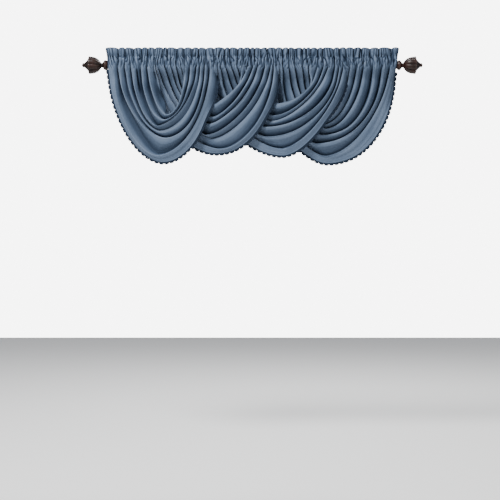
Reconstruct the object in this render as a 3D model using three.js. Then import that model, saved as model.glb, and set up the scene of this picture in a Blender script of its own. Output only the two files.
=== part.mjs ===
// A set of four interleaved waterfall swag valances of one cloth, gathered on one curtain rod
// with two fluted finials. Millimetres, +Z up, the viewer stands on the -Y side.
// The origin is on the rod's axis, midway between the tips of the finials.
import * as THREE from "three";
import { mergeVertices } from "three/addons/utils/BufferGeometryUtils.js";

// Rod and finials
const ROD_RADIUS = 12.7;
const ROD_HALF_LENGTH = 777.7;
const ROD_SIDES = 24;
const FINIAL_LOBES = 8;
const FINIAL_SIDES = 32;
const FLUTE_DEPTH = 0.1;
const FIT_GAP = 0.3;

// Cloth
const CLOTH = 2;
const POCKET_LOW = 36;
const POCKET_TOP = 44;
const RUFFLE_TOP = 95;
const HOLE_RADIUS = 14.2;
const POCKET_DEPTH = 19;
const POCKET_LEAN = 11;
const NECK_HALF = 7;
const POCKET_SHOULDER = 18;
const POCKET_BELLY = -10;
const GATHER = 5;
const POCKET_PUFF = 3;
const SEAM_HALF = 3;
const RUFFLE_WAIST = 67;
const RUFFLE_WAVE = 7;
const RUFFLE_DIP = 6;
const END_FLARE = 17;

// Folds of a swag
const STEPS_ALONG = 22;
const FOLD_STEPS = [0, 0.28, 0.62];
const VALLEY_AT = 0.3;
const VALLEY_SHARE = 0.75;
const LOOSEN_OVER = 110;
const HEM_SAMPLES = 80;

// Scalloped trim
const TRIM_WIDTH = 13;
const TRIM_NOTCH = 6;
const TRIM_HALF_THICK = 1.6;
const TRIM_PITCH = 29;

const MATERIALS = {
  cloth: { color: 0x66809b, roughness: 0.85, metalness: 0 },
  trim: { color: 0x1f3145, roughness: 0.8, metalness: 0 },
  bronze: { color: 0x3a2a26, roughness: 0.4, metalness: 0.8 },
};

// The profile of a finial, from the collar at the rod's end to the tip.
// out: distance from the inner face of the collar; radius: half the width; flute: share of the lobes' depth.
const FINIAL_PROFILE = [
  { out: 0, radius: 17, flute: 0 },
  { out: 5, radius: 24, flute: 0 },
  { out: 15, radius: 27, flute: 0 },
  { out: 25, radius: 21, flute: 0 },
  { out: 32, radius: 12, flute: 0 },
  { out: 36, radius: 12, flute: 0 },
  { out: 41, radius: 20, flute: 0.4 },
  { out: 53, radius: 33, flute: 1 },
  { out: 72, radius: 43.5, flute: 1 },
  { out: 103, radius: 47, flute: 1.2 },
  { out: 110, radius: 30, flute: 0.8 },
  { out: 127, radius: 13, flute: 0.3 },
  { out: 133, radius: 11, flute: 0 },
  { out: 143, radius: 3, flute: 0 },
];

// The folds of each swag, from the inner edge of its cowl to its hem, one row for each crest.
// left, low, right: where the crest stands on the rod, at its lowest point, and on the rod again.
// drop: depth of the lowest point under the rod's axis. leftBow, rightBow: roundness of each arm,
// 2 for a quarter of an ellipse. leftLean, rightLean: whether that arm leaves the rod at the back, 1,
// or at the front, -1. leftLayer, rightLayer: how far back the arm then hangs.
// lift: how far the crest stands out of the cloth at the bottom of the U.
const SWAGS = [
  {
    name: "swag_1",
    leftLean: -1,
    rightLean: -1,
    leftLayer: -14,
    rightLayer: -44,
    folds: [
      { left: -531, low: -474, drop: 232, right: -370, leftBow: 1.7, rightBow: 2.2, lift: 3 },
      { left: -563, low: -466, drop: 270, right: -362, leftBow: 1.6, rightBow: 2.2, lift: 16 },
      { left: -596, low: -471, drop: 296, right: -332, leftBow: 2.0, rightBow: 2.0, lift: 16 },
      { left: -650, low: -515, drop: 332, right: -296, leftBow: 1.65, rightBow: 1.85, lift: 18 },
      { left: -682, low: -498, drop: 362, right: -278, leftBow: 1.7, rightBow: 1.95, lift: 5 },
      { left: -720, low: -471, drop: 397, right: -253, leftBow: 1.76, rightBow: 2.1, lift: 20 },
      { left: -753, low: -515, drop: 491, right: -227, leftBow: 1.78, rightBow: 1.9, lift: 12 },
      { left: -775, low: -477, drop: 524, right: -205, leftBow: 1.83, rightBow: 2.05, lift: 0 },
    ],
  },
  {
    name: "swag_2",
    leftLean: 1,
    rightLean: -1,
    leftLayer: 44,
    rightLayer: -44,
    folds: [
      { left: -375, low: -231, drop: 212, right: -39, leftBow: 1.6, rightBow: 1.5, lift: 3 },
      { left: -390, low: -234, drop: 232, right: -21, leftBow: 1.7, rightBow: 1.48, lift: 16 },
      { left: -415, low: -212, drop: 282, right: 8, leftBow: 1.75, rightBow: 1.45, lift: 17 },
      { left: -444, low: -231, drop: 317, right: 33, leftBow: 1.5, rightBow: 1.54, lift: 16 },
      { left: -477, low: -250, drop: 381, right: 72, leftBow: 1.37, rightBow: 1.61, lift: 19 },
      { left: -515, low: -212, drop: 402, right: 103, leftBow: 1.45, rightBow: 1.57, lift: 7 },
      { left: -538, low: -180, drop: 455, right: 117, leftBow: 1.7, rightBow: 1.9, lift: 13 },
      { left: -552, low: -196, drop: 477, right: 127, leftBow: 1.84, rightBow: 2.1, lift: 0 },
    ],
  },
  {
    name: "swag_3",
    leftLean: 1,
    rightLean: -1,
    leftLayer: 44,
    rightLayer: -44,
    folds: [
      { left: -49, low: 136, drop: 191, right: 328, leftBow: 1.6, rightBow: 1.75, lift: 3 },
      { left: -64, low: 136, drop: 212, right: 356, leftBow: 1.5, rightBow: 1.75, lift: 15 },
      { left: -88, low: 112, drop: 277, right: 387, leftBow: 1.5, rightBow: 1.63, lift: 17 },
      { left: -120, low: 101, drop: 305, right: 413, leftBow: 1.4, rightBow: 1.53, lift: 6 },
      { left: -150, low: 74, drop: 334, right: 449, leftBow: 1.45, rightBow: 2.0, lift: 19 },
      { left: -177, low: 85, drop: 392, right: 471, leftBow: 1.6, rightBow: 1.9, lift: 13 },
      { left: -194, low: 171, drop: 457, right: 492, leftBow: 1.75, rightBow: 1.5, lift: 13 },
      { left: -210, low: 163, drop: 491, right: 505, leftBow: 1.94, rightBow: 1.6, lift: 0 },
    ],
  },
  {
    name: "swag_4",
    leftLean: 1,
    rightLean: 1,
    leftLayer: 44,
    rightLayer: 8,
    folds: [
      { left: 317, low: 398, drop: 270, right: 513, leftBow: 1.6, rightBow: 1.6, lift: 3 },
      { left: 295, low: 398, drop: 297, right: 530, leftBow: 1.5, rightBow: 1.6, lift: 12 },
      { left: 263, low: 393, drop: 321, right: 567, leftBow: 1.5, rightBow: 1.7, lift: 9 },
      { left: 222, low: 398, drop: 343, right: 603, leftBow: 1.5, rightBow: 1.8, lift: 17 },
      { left: 190, low: 379, drop: 375, right: 654, leftBow: 1.6, rightBow: 2.2, lift: 16 },
      { left: 158, low: 352, drop: 420, right: 702, leftBow: 1.8, rightBow: 2.1, lift: 18 },
      { left: 140, low: 409, drop: 495, right: 746, leftBow: 1.8, rightBow: 1.6, lift: 12 },
      { left: 124, low: 414, drop: 530, right: 773, leftBow: 1.96, rightBow: 2.1, lift: 0 },
    ],
  },
];

// The eight stretches of the rod that the gathered headings cover, from left to right: the ends
// of neighbouring swags take turns, so each swag's right end lies beyond its neighbour's left end.
const HEADING_BOUNDS = [-776, -555, -372, -203, -45, 130, 321, 507, 776];
const HEADING_ORDER = ["1_left", "2_left", "1_right", "3_left", "2_right", "4_left", "3_right", "4_right"];
const BUTT_GAP = 1;

const mix = (a, b, share) => a + (b - a) * share;
const clamp01 = (value) => Math.min(1, Math.max(0, value));
const smooth = (value) => {
  const t = clamp01(value);
  return t * t * (3 - 2 * t);
};

// A mesh of one sub-part with its own material.
function part(name, geometry, material) {
  const mesh = new THREE.Mesh(geometry, new THREE.MeshStandardMaterial(material));
  mesh.name = name;
  return mesh;
}

// A closed geometry from points and faces of three or four corners, whose shared points are merged.
function closedGeometry(points, faces) {
  const indices = [];
  for (const [a, b, c, d] of faces) {
    indices.push(a, b, c);
    if (d !== undefined) indices.push(a, c, d);
  }
  const geometry = new THREE.BufferGeometry();
  geometry.setAttribute("position", new THREE.Float32BufferAttribute(points.flat(), 3));
  geometry.setIndex(indices);
  return mergeVertices(geometry, 1e-4);
}

// The side faces of a tube of rings of equal count, each ring closed on itself.
function ringFaces(rings, count, flip) {
  const faces = [];
  for (let r = 0; r < rings - 1; r += 1) {
    for (let i = 0; i < count; i += 1) {
      const j = (i + 1) % count;
      const quad = [r * count + i, r * count + j, (r + 1) * count + j, (r + 1) * count + i];
      faces.push(flip ? quad.reverse() : quad);
    }
  }
  return faces;
}

// The height and place of a fold's crest at an angle of its U, 0 on the left and pi on the right.
function crestPoint(fold, angle) {
  const onLeft = angle < Math.PI / 2;
  const bow = onLeft ? fold.leftBow : fold.rightBow;
  const head = onLeft ? fold.left : fold.right;
  const reach = Math.abs(Math.cos(angle)) ** (2 / bow);
  const sink = Math.sin(angle) ** (2 / bow);
  return { x: mix(fold.low, head, reach), z: -fold.drop * sink };
}

// The angle at which a fold's crest leaves the lower edge of the rod pocket.
function startAngle(fold, bow) {
  return Math.asin(((POCKET_LOW + FIT_GAP) / fold.drop) ** (bow / 2));
}

// A point of a fold's crest at a share of the way along its U.
function alongFold(fold, share) {
  const first = startAngle(fold, fold.leftBow);
  const last = Math.PI - startAngle(fold, fold.rightBow);
  return crestPoint(fold, mix(first, last, share));
}

// How far the cloth's middle stands back at a share of the way along the U: each swag's left arm
// hangs behind and its right arm in front, because its neighbours cross it.
function layerDepth(swag, share, loose) {
  const middle = (swag.leftLayer + swag.rightLayer) / 2;
  const half = (swag.leftLayer - swag.rightLayer) / 2;
  const lean = (share < 0.5 ? swag.leftLean : swag.rightLean) * POCKET_LEAN;
  return mix(lean, middle + half * Math.cos(Math.PI * share), loose);
}

// The wave of the cloth between two crests: from a crest back into a valley and out again.
function foldWave(step) {
  if (step < VALLEY_AT) return mix(1, -VALLEY_SHARE, smooth(step / VALLEY_AT));
  return mix(-VALLEY_SHARE, 1, smooth((step - VALLEY_AT) / (1 - VALLEY_AT)));
}

// One point of the cloth's middle sheet: share runs along the U, row counts folds from the inner edge.
function clothPoint(swag, share, row, step) {
  const here = swag.folds[row];
  const next = swag.folds[Math.min(row + 1, swag.folds.length - 1)];
  const a = alongFold(here, share);
  const b = alongFold(next, share);
  const x = mix(a.x, b.x, step);
  const z = mix(a.z, b.z, step);
  const loose = smooth((-z - POCKET_LOW) / LOOSEN_OVER);
  const lift = mix(GATHER, mix(here.lift, next.lift, step), loose);
  const y = layerDepth(swag, share, loose) - lift * foldWave(step);
  return new THREE.Vector3(x, y, z);
}

// The middle sheet as rows along the U, each a list of points from the inner edge to the hem.
function clothGrid(swag) {
  const rows = [];
  for (let i = 0; i <= STEPS_ALONG; i += 1) {
    const row = [];
    for (let f = 0; f < swag.folds.length - 1; f += 1) {
      for (const step of FOLD_STEPS) row.push(clothPoint(swag, i / STEPS_ALONG, f, step));
    }
    row.push(clothPoint(swag, i / STEPS_ALONG, swag.folds.length - 1, 0));
    rows.push(row);
  }
  return rows;
}

// The sheet's normal at a point of the grid, from its neighbours.
function gridNormal(grid, i, j) {
  const back = grid[Math.max(i - 1, 0)][j];
  const ahead = grid[Math.min(i + 1, grid.length - 1)][j];
  const inner = grid[i][Math.max(j - 1, 0)];
  const outer = grid[i][Math.min(j + 1, grid[i].length - 1)];
  const along = new THREE.Vector3().subVectors(ahead, back);
  const across = new THREE.Vector3().subVectors(outer, inner);
  return along.cross(across).normalize();
}

// One draped cloth: two skins, half the cloth's thickness to each side, closed around its edge.
function swagGeometry(swag) {
  const grid = clothGrid(swag);
  const across = grid[0].length;
  const skins = [1, -1].map((side) =>
    grid.flatMap((row, i) =>
      row.map((point, j) => {
        const normal = gridNormal(grid, i, j);
        const atPocket = i === 0 || i === grid.length - 1;
        if (atPocket) normal.setZ(0).normalize();
        return point.clone().addScaledVector(normal, (side * CLOTH) / 2).toArray();
      }),
    ),
  );
  const count = grid.length * across;
  const at = (skin, i, j) => skin * count + i * across + j;
  const faces = [];
  for (let i = 0; i < grid.length - 1; i += 1) {
    for (let j = 0; j < across - 1; j += 1) {
      faces.push([at(0, i, j), at(0, i + 1, j), at(0, i + 1, j + 1), at(0, i, j + 1)]);
      faces.push([at(1, i, j), at(1, i, j + 1), at(1, i + 1, j + 1), at(1, i + 1, j)]);
    }
    faces.push([at(0, i, 0), at(1, i, 0), at(1, i + 1, 0), at(0, i + 1, 0)]);
    const last = across - 1;
    faces.push([at(0, i, last), at(0, i + 1, last), at(1, i + 1, last), at(1, i, last)]);
  }
  for (let j = 0; j < across - 1; j += 1) {
    const end = grid.length - 1;
    faces.push([at(0, 0, j), at(0, 0, j + 1), at(1, 0, j + 1), at(1, 0, j)]);
    faces.push([at(0, end, j), at(1, end, j), at(1, end, j + 1), at(0, end, j + 1)]);
  }
  return closedGeometry(skins.flat(), faces);
}

// The two ends of a heading along the rod; only neighbours leave a gap between them.
function headingEnds(swag, side) {
  const place = HEADING_ORDER.indexOf(swag.name.replace("swag_", "") + "_" + side);
  const from = HEADING_BOUNDS[place] + (place > 0 ? BUTT_GAP / 2 : 0);
  const to = HEADING_BOUNDS[place + 1] - (place < HEADING_ORDER.length - 1 ? BUTT_GAP / 2 : 0);
  return [from, to];
}

// The stretch of places along a heading at which its gathers stand out and draw in, from the
// crests of its swag where they meet the rod. gather is 1 on a crest and -1 between two.
function gatherStations(swag, side, from, to) {
  const crests = swag.folds.map((fold) => fold[side]).sort((a, b) => a - b);
  const inside = crests.filter((x) => x > from + 2 * CLOTH && x < to - 2 * CLOTH);
  const stops = [from, ...inside, to];
  const stations = [{ x: from, gather: 0 }];
  for (let i = 1; i < stops.length; i += 1) {
    stations.push({ x: (stops[i - 1] + stops[i]) / 2, gather: -1 });
    const last = i === stops.length - 1;
    stations.push({ x: stops[i], gather: last ? 0 : 1 });
  }
  return stations;
}

// The outer ring of a heading at one station: down its front, under the rod, up its back and over
// the standing ruffle. facing: the angle, in degrees, of the point of the rod's hole across from it.
function headingRing(lean, gather) {
  const neck = lean * POCKET_LEAN;
  const belly = POCKET_DEPTH + gather * POCKET_PUFF;
  const wave = -gather * RUFFLE_WAVE;
  const top = RUFFLE_TOP + gather * RUFFLE_DIP;
  return [
    { y: wave - CLOTH, z: top, facing: 95 },
    { y: wave - SEAM_HALF, z: RUFFLE_WAIST, facing: 100 },
    { y: -SEAM_HALF, z: POCKET_TOP, facing: 110 },
    { y: -belly, z: POCKET_SHOULDER, facing: 145 },
    { y: -belly, z: POCKET_BELLY, facing: 190 },
    { y: neck - NECK_HALF, z: -POCKET_LOW, facing: 235 },
    { y: neck, z: -POCKET_LOW, facing: 270 },
    { y: neck + NECK_HALF, z: -POCKET_LOW, facing: 305 },
    { y: belly, z: POCKET_BELLY, facing: 350 },
    { y: belly, z: POCKET_SHOULDER, facing: 395 },
    { y: SEAM_HALF, z: POCKET_TOP, facing: 430 },
    { y: wave + SEAM_HALF, z: RUFFLE_WAIST, facing: 440 },
    { y: wave + CLOTH, z: top, facing: 445 },
  ];
}

// The ring of the rod's hole, with a point for each of the outer ring.
function holeRing(outer) {
  return outer.map(({ facing }) => {
    const angle = THREE.MathUtils.degToRad(facing);
    return { y: HOLE_RADIUS * Math.cos(angle), z: HOLE_RADIUS * Math.sin(angle) };
  });
}

// The outermost edges of the two end headings lean out towards the top of their ruffle.
function flared(x, z) {
  const outermost = Math.abs(x) >= HEADING_BOUNDS.at(-1);
  return outermost ? x + Math.sign(x) * END_FLARE * clamp01(z / RUFFLE_TOP) : x;
}

// A gathered heading: a rod pocket with a standing ruffle, pierced by the rod's hole.
function headingGeometry(swag, side) {
  const [from, to] = headingEnds(swag, side);
  const stations = gatherStations(swag, side, from, to);
  const lean = side === "left" ? swag.leftLean : swag.rightLean;
  const rings = stations.map(({ gather }) => headingRing(lean, gather));
  const count = rings[0].length;
  const hole = holeRing(rings[0]);
  const points = [];
  stations.forEach(({ x }, s) => rings[s].forEach(({ y, z }) => points.push([flared(x, z), y, z])));
  const first = points.length;
  for (const { x } of [stations[0], stations.at(-1)]) hole.forEach(({ y, z }) => points.push([x, y, z]));
  const faces = ringFaces(stations.length, count, false);
  const lastRing = (stations.length - 1) * count;
  for (let i = 0; i < count; i += 1) {
    const j = (i + 1) % count;
    faces.push([first + i, first + count + i, first + count + j, first + j]);
    faces.push([i, first + i, first + j, j]);
    faces.push([lastRing + i, lastRing + j, first + count + j, first + count + i]);
  }
  return closedGeometry(points, faces);
}

// The hem of a swag as one smooth curve.
function hemCurve(swag) {
  const last = swag.folds.length - 1;
  const samples = [];
  for (let i = 0; i <= HEM_SAMPLES; i += 1) samples.push(clothPoint(swag, i / HEM_SAMPLES, last, 0));
  return new THREE.CatmullRomCurve3(samples);
}

// The scalloped trim: a three-cornered strip just outside the hem whose width rises and falls.
function trimGeometry(swag) {
  const curve = hemCurve(swag);
  const steps = 2 * Math.round(curve.getLength() / TRIM_PITCH);
  const points = [];
  for (let i = 0; i <= steps; i += 1) {
    const here = curve.getPointAt(i / steps);
    const before = curve.getPointAt(Math.max(i - 1, 0) / steps);
    const after = curve.getPointAt(Math.min(i + 1, steps) / steps);
    const along = new THREE.Vector3().subVectors(after, before).setY(0).normalize();
    const outward = new THREE.Vector3(along.z, 0, -along.x);
    const width = TRIM_WIDTH - (i % 2 === 0 ? TRIM_NOTCH : 0);
    const root = here.clone().addScaledVector(outward, CLOTH / 2 + FIT_GAP);
    const tip = root.clone().addScaledVector(outward, width);
    for (const side of [-TRIM_HALF_THICK, TRIM_HALF_THICK]) points.push([root.x, root.y + side, root.z]);
    points.push(tip.toArray());
  }
  const faces = ringFaces(steps + 1, 3, true);
  const last = 3 * steps;
  faces.push([0, 1, 2]);
  faces.push([last, last + 2, last + 1]);
  return closedGeometry(points, faces);
}

// The rod: one plain tube closed at its ends.
function rodGeometry() {
  const rod = new THREE.CylinderGeometry(ROD_RADIUS, ROD_RADIUS, 2 * ROD_HALF_LENGTH, ROD_SIDES, 1);
  rod.rotateZ(Math.PI / 2);
  return rod;
}

// A finial: a turned profile about the rod's axis, fluted where its profile says so.
function finialGeometry(direction) {
  const points = [];
  for (const { out, radius, flute } of FINIAL_PROFILE) {
    for (let i = 0; i < FINIAL_SIDES; i += 1) {
      const angle = (i / FINIAL_SIDES) * 2 * Math.PI;
      const lobe = Math.abs(Math.cos((FINIAL_LOBES * angle) / 2)) - 1;
      const r = radius * (1 + FLUTE_DEPTH * flute * lobe);
      const x = direction * (ROD_HALF_LENGTH + FIT_GAP + out);
      points.push([x, r * Math.cos(angle), r * Math.sin(angle)]);
    }
  }
  const rings = FINIAL_PROFILE.length;
  const faces = ringFaces(rings, FINIAL_SIDES, direction < 0);
  const inner = points.length;
  points.push([direction * (ROD_HALF_LENGTH + FIT_GAP), 0, 0]);
  const outer = points.length;
  points.push([direction * (ROD_HALF_LENGTH + FIT_GAP + FINIAL_PROFILE.at(-1).out), 0, 0]);
  const lastRing = (rings - 1) * FINIAL_SIDES;
  for (let i = 0; i < FINIAL_SIDES; i += 1) {
    const j = (i + 1) % FINIAL_SIDES;
    faces.push(direction > 0 ? [inner, j, i] : [inner, i, j]);
    faces.push(direction > 0 ? [outer, lastRing + i, lastRing + j] : [outer, lastRing + j, lastRing + i]);
  }
  return closedGeometry(points, faces);
}

const group = new THREE.Group();
group.add(part("rod", rodGeometry(), MATERIALS.bronze));
group.add(part("finial_left", finialGeometry(-1), MATERIALS.bronze));
group.add(part("finial_right", finialGeometry(1), MATERIALS.bronze));
for (const swag of SWAGS) {
  const number = swag.name.split("_")[1];
  group.add(part(swag.name, swagGeometry(swag), MATERIALS.cloth));
  for (const side of ["left", "right"]) {
    const name = "heading_" + number + "_" + side;
    group.add(part(name, headingGeometry(swag, side), MATERIALS.cloth));
  }
  group.add(part("trim_" + number, trimGeometry(swag), MATERIALS.trim));
}

export default group;
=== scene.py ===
# %% [markdown]
# # Four waterfall swag valances on a curtain rod
# A waterfall valance is one panel of cloth. Its two gathered ends are folded over into rod pockets,
# and the cloth between them drops in a U of soft folds. Four share this rod, and their ends take turns
# along it, so each swag crosses its neighbour.
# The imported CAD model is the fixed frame: the rod's axis is X, the room is on the -Y side, +Z is up.
# All sizes in this file are metres.

import math
from collections import namedtuple

import bpy
import numpy as np
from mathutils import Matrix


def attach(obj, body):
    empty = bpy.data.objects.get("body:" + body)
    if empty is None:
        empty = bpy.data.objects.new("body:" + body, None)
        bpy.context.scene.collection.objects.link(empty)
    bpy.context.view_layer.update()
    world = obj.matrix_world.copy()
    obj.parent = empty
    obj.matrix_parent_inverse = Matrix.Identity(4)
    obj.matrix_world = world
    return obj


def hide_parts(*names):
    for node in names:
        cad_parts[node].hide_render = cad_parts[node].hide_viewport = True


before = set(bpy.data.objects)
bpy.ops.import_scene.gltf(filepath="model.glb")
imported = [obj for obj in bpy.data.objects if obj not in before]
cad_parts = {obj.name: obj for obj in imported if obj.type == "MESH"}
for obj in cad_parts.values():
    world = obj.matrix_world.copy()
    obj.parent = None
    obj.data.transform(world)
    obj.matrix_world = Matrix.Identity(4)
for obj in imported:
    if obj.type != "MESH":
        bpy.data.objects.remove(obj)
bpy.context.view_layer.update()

# %% [markdown]
# ## What the folds look like
# Each swag is described by its crests, the ridge lines of its folds, from the free inner edge of its
# opening down to its hem. A crest leaves the rod, sinks to its lowest point and climbs back. The same
# numbers shape the CAD solids, so the fine cloth made here hangs in the same places.

# %% The crests of each swag
Fold = namedtuple("Fold", "left low drop right left_bow right_bow lift")
Swag = namedtuple("Swag", "name left_layer right_layer left_lean right_lean spread tipped folds")

SWAGS = [
    Swag("swag_1", -0.014, -0.044, -1, -1, 0.0, 0.37, [
        Fold(-0.516, -0.455, 0.228, -0.370, 1.70, 2.00, 0.003),
        Fold(-0.563, -0.466, 0.270, -0.362, 1.60, 2.20, 0.016),
        Fold(-0.596, -0.471, 0.296, -0.332, 2.00, 2.00, 0.016),
        Fold(-0.650, -0.515, 0.332, -0.296, 1.65, 1.85, 0.018),
        Fold(-0.682, -0.498, 0.362, -0.278, 1.70, 1.95, 0.005),
        Fold(-0.720, -0.471, 0.397, -0.253, 1.76, 2.10, 0.020),
        Fold(-0.753, -0.515, 0.491, -0.227, 1.78, 1.90, 0.012),
        Fold(-0.775, -0.477, 0.524, -0.205, 1.83, 2.05, 0.000),
    ]),
    Swag("swag_2", 0.044, -0.044, 1, -1, 0.0, -1, [
        Fold(-0.375, -0.231, 0.212, -0.039, 1.60, 1.50, 0.003),
        Fold(-0.390, -0.234, 0.222, -0.021, 1.70, 1.48, 0.016),
        Fold(-0.415, -0.212, 0.282, 0.008, 1.75, 1.45, 0.017),
        Fold(-0.444, -0.231, 0.317, 0.033, 1.50, 1.54, 0.016),
        Fold(-0.477, -0.250, 0.381, 0.072, 1.37, 1.61, 0.019),
        Fold(-0.515, -0.212, 0.402, 0.103, 1.45, 1.57, 0.007),
        Fold(-0.538, -0.180, 0.455, 0.117, 1.70, 1.90, 0.013),
        Fold(-0.552, -0.196, 0.477, 0.127, 1.84, 2.10, 0.000),
    ]),
    Swag("swag_3", 0.044, -0.044, 1, -1, 0.038, -1, [
        Fold(-0.049, 0.136, 0.191, 0.328, 1.60, 1.75, 0.003),
        Fold(-0.064, 0.136, 0.212, 0.356, 1.50, 1.75, 0.015),
        Fold(-0.088, 0.112, 0.277, 0.387, 1.50, 1.63, 0.017),
        Fold(-0.120, 0.101, 0.305, 0.413, 1.40, 1.53, 0.006),
        Fold(-0.150, 0.074, 0.334, 0.449, 1.45, 2.00, 0.019),
        Fold(-0.177, 0.085, 0.392, 0.471, 1.60, 1.90, 0.013),
        Fold(-0.194, 0.171, 0.457, 0.492, 1.75, 1.50, 0.013),
        Fold(-0.210, 0.163, 0.491, 0.505, 1.94, 1.60, 0.000),
    ]),
    Swag("swag_4", 0.044, 0.008, 1, 1, 0.038, -1, [
        Fold(0.317, 0.398, 0.270, 0.513, 1.60, 1.60, 0.003),
        Fold(0.295, 0.398, 0.297, 0.530, 1.50, 1.60, 0.012),
        Fold(0.263, 0.393, 0.321, 0.567, 1.50, 1.70, 0.009),
        Fold(0.222, 0.398, 0.343, 0.603, 1.50, 1.80, 0.017),
        Fold(0.190, 0.379, 0.375, 0.654, 1.60, 2.20, 0.016),
        Fold(0.158, 0.352, 0.420, 0.702, 1.80, 2.10, 0.018),
        Fold(0.140, 0.409, 0.495, 0.746, 1.80, 1.60, 0.012),
        Fold(0.124, 0.414, 0.530, 0.773, 1.96, 2.10, 0.000),
    ]),
]
print(len(SWAGS), "swags of", len(SWAGS[0].folds), "crests")

# %% [markdown]
# ## The gathers along the rod
# Above the rod the cloth stands up as a ruffle. Its bumps are listed by the grooves between them, from
# one end of each heading to the other, because real gathers are never evenly spaced.

# %% The grooves of the ruffle
GROOVES = {
    "swag_1_left": [-0.776, -0.722, -0.686, -0.640, -0.596, -0.563, -0.528],
    "swag_2_left": [-0.528, -0.481, -0.459, -0.408, -0.366],
    "swag_1_right": [-0.366, -0.326, -0.289, -0.250, -0.208],
    "swag_3_left": [-0.208, -0.149, -0.122, -0.080, -0.046],
    "swag_2_right": [-0.046, -0.010, 0.012, 0.047, 0.082, 0.126],
    "swag_4_left": [0.126, 0.163, 0.196, 0.228, 0.271, 0.291, 0.316],
    "swag_3_right": [0.316, 0.352, 0.380, 0.439, 0.471, 0.506],
    "swag_4_right": [0.506, 0.547, 0.590, 0.635, 0.682, 0.745, 0.776],
}
print(sum(len(g) - 1 for g in GROOVES.values()), "bumps along the ruffle")

# %% [markdown]
# ## Helpers for soft curves
# Cloth has no hard corners, so most blends use a smooth step. The unevenness of real folds comes
# from a few sine waves added up: it looks random, yet is the same on every run.

# %% Smooth blends and unevenness
def smooth(value):
    """A soft step from 0 to 1."""
    t = np.clip(value, 0.0, 1.0)
    return t * t * (3 - 2 * t)


def mix(a, b, share):
    """From a at share 0 to b at share 1."""
    return a + (b - a) * share


def wander(a, b, seed):
    """A soft unevenness from -1 to 1 over two running values."""
    total = 0.0
    for k, (fa, fb) in enumerate([(1.0, 0.7), (2.3, 1.9), (4.1, 3.3)]):
        phase = seed * (1.7 + k) + k * 2.1
        total = total + np.sin(a * fa + b * fb + phase) / (1 + k)
    return total / 1.84


print("unevenness at one spot:", wander(1.0, 2.0, 3).round(3))

# %% [markdown]
# ## The section through one fold
# Each fold falls from its crest into a valley and rises to the next crest, with one steep side and
# one long side. On the first swag's left arm the steep side comes first. Round its bottom the folds
# tip over into pockets that open upwards, with the steep side last, and stay so up its right arm. The
# other swags have pockets all the way. One number, tipped, moves the valley from side to side.

# %% The section of a fold
VALLEY = -0.92
VALLEY_AT_FIRST = 0.13
VALLEY_AT_TIPPED = 0.88
# The first fold of a swag is its cowl: it has no valley, and sinks away behind the opening's edge.
COWL_SECTION = np.array([(0.00, -1.45), (0.20, -1.25), (0.42, -0.85), (0.60, -0.35), (0.76, 0.15),
                         (0.88, 0.62), (0.95, 0.90), (1.00, 1.00)])


def fold_stand(across, tipped, full):
    """How far cloth stands out at a share of the way across a fold: 1 on the crest, below 0 in the valley.

    tipped: 0 where the steep side comes first, 1 where it comes last; full: 1 for a plump long side.
    """
    valley_at = mix(VALLEY_AT_FIRST, VALLEY_AT_TIPPED, tipped)
    fall = np.clip(across / valley_at, 0, 1)
    rise = np.clip((across - valley_at) / (1 - valley_at), 0, 1)
    down = mix(smooth(fall), fall ** 1.8, tipped)
    up = mix(mix(rise ** 1.5, 1 - (1 - rise) ** 2.2, full), smooth(rise), tipped)
    return np.where(across < valley_at, 1 - (1 - VALLEY) * down, VALLEY + (1 - VALLEY) * up)


def fold_shade(stand):
    """How much painted shade darkens the cloth at this depth of a fold: 0 on the crest, 1 in the valley."""
    return 0.38 * smooth((0.99 - stand) / 0.30) + 0.62 * smooth((0.55 - stand) / 1.35)


print("stand across a pocket:", np.round(fold_stand(np.linspace(0, 1, 9), 1.0, 0.0), 2))

# %% [markdown]
# ## The path of one thread of cloth
# One thread of a valance starts in the seam behind the rod, climbs the pocket's back to the top of
# the ruffle, turns over, runs down the front, swings through the U and climbs over the other end in
# the same way. The panel is built from such threads side by side, so pocket, ruffle and swag are one
# unbroken sheet, as when sewn. A cloth simulation could drape it, but its folds settle where they
# like, and a grid of computed points keeps every fold where its crest says.

# %% The shape of a heading, from its seam over the ruffle and down the front
# height: above the rod's axis; stand: distance from the rod's plane, + behind; pleat, pucker and
# ruffle: how strongly the three kinds of gathers show at that height.
HeadingStep = namedtuple("HeadingStep", "height stand pleat pucker ruffle")
HEADING_BACK = [HeadingStep(*step) for step in [
    (-0.022, 0.014, -0.3, 0.0, 0.0), (-0.010, 0.019, -0.5, 0.0, 0.0), (0.004, 0.021, -0.5, 0.1, 0.0),
    (0.018, 0.019, -0.4, 0.3, 0.0), (0.031, 0.012, -0.2, 0.7, 0.0), (0.040, 0.005, 0.0, 1.0, 0.1),
    (0.044, 0.002, 0.0, 1.0, 0.2), (0.050, 0.004, 0.0, 0.8, 0.4), (0.060, 0.005, 0.0, 0.3, 0.7),
    (0.074, 0.005, 0.0, 0.0, 0.9), (0.086, 0.004, 0.0, 0.0, 1.0), (0.0925, 0.002, 0.0, 0.0, 1.0),
]]
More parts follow.
